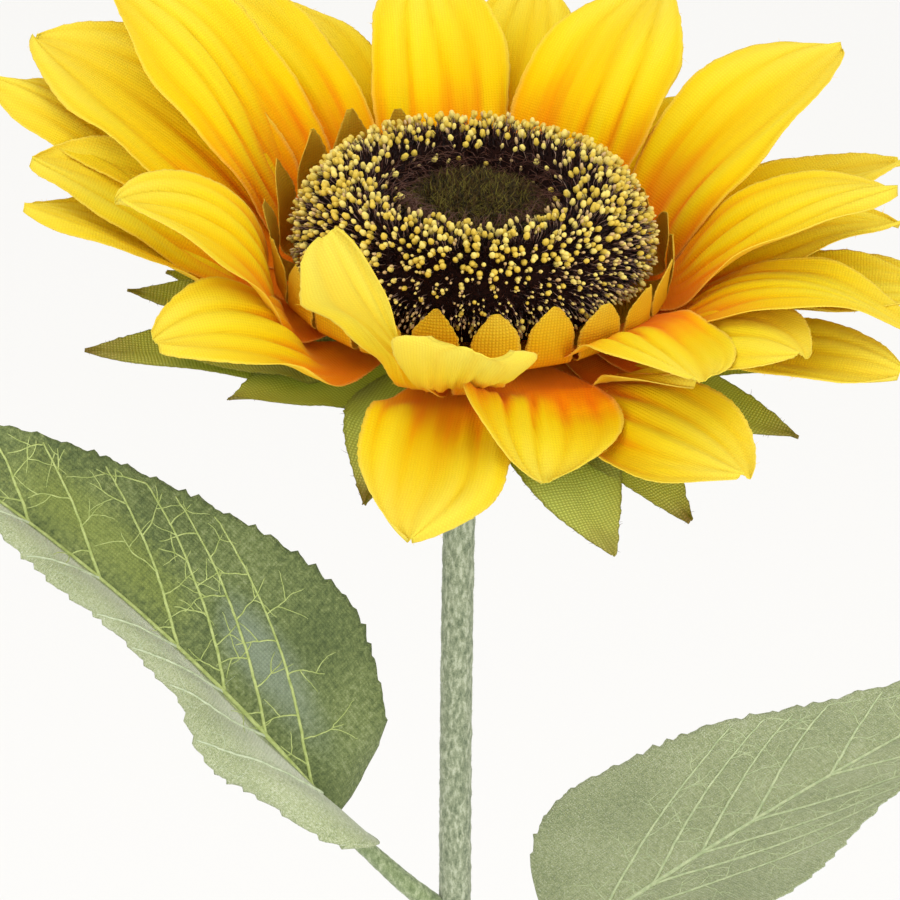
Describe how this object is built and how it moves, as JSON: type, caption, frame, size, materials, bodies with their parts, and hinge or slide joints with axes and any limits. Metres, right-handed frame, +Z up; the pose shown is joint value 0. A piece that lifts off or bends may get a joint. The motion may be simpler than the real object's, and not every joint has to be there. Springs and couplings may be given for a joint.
{
  "type": "artificial sunflower stem",
  "caption": "Artificial sunflower on an upright flocked stem: a broad bloom of yellow cloth petals round a dark bristled seed head, with toothed green leaves on short stalks.",
  "frame": {"origin": "centre of the flat cut at the foot of the stem, at ground level", "axes": "+Z up along the stem, -Y towards the viewer of the picture, +X to the viewer's right"},
  "size_m": [0.3071, 0.1804, 0.532],
  "materials": {
    "petal_cloth": "woven cloth, deep orange at the foot of each petal and lemon yellow at its tip",
    "inner_cloth": "woven ochre cloth",
    "sepal_cloth": "woven olive cloth with brownish tips",
    "leaf_cloth": "woven green cloth with printed pale veins, paler on the turned half",
    "stem_flock": "mottled grey-green flock over a wire",
    "seed_bristle": "dark fibre bristles with pale yellow bead tips",
    "centre_moss": "dark olive fibre moss"
  },
  "bodies": {
    "root": {"stem": "stem_flock", "leaf_stalk_left": "stem_flock", "leaf_stalk_right": "stem_flock", "leaf_left": "leaf_cloth", "leaf_right": "leaf_cloth", "receptacle": "sepal_cloth", "seed_head": "seed_bristle", "seed_centre": "centre_moss", "inner_petals": "inner_cloth", "petal_01": "petal_cloth", "petal_02": "petal_cloth", "petal_03": "petal_cloth", "petal_04": "petal_cloth", "petal_05": "petal_cloth", "petal_06": "petal_cloth", "petal_07": "petal_cloth", "petal_08": "petal_cloth", "petal_09": "petal_cloth", "petal_10": "petal_cloth", "petal_11": "petal_cloth", "petal_12": "petal_cloth", "petal_13": "petal_cloth", "petal_14": "petal_cloth", "petal_15": "petal_cloth", "petal_16": "petal_cloth", "petal_17": "petal_cloth", "petal_18": "petal_cloth", "petal_19": "petal_cloth", "petal_20": "petal_cloth", "petal_21": "petal_cloth", "petal_22": "petal_cloth", "petal_23": "petal_cloth", "petal_24": "petal_cloth", "petal_25": "petal_cloth", "petal_26": "petal_cloth", "petal_27": "petal_cloth", "petal_28": "petal_cloth", "petal_29": "petal_cloth", "sepal_01": "sepal_cloth", "sepal_02": "sepal_cloth", "sepal_03": "sepal_cloth", "sepal_04": "sepal_cloth", "sepal_05": "sepal_cloth", "sepal_06": "sepal_cloth", "sepal_07": "sepal_cloth", "sepal_08": "sepal_cloth", "sepal_09": "sepal_cloth", "sepal_10": "sepal_cloth", "sepal_11": "sepal_cloth", "sepal_12": "sepal_cloth", "sepal_13": "sepal_cloth", "sepal_14": "sepal_cloth", "sepal_15": "sepal_cloth", "sepal_16": "sepal_cloth"}
  },
  "joints": []
}
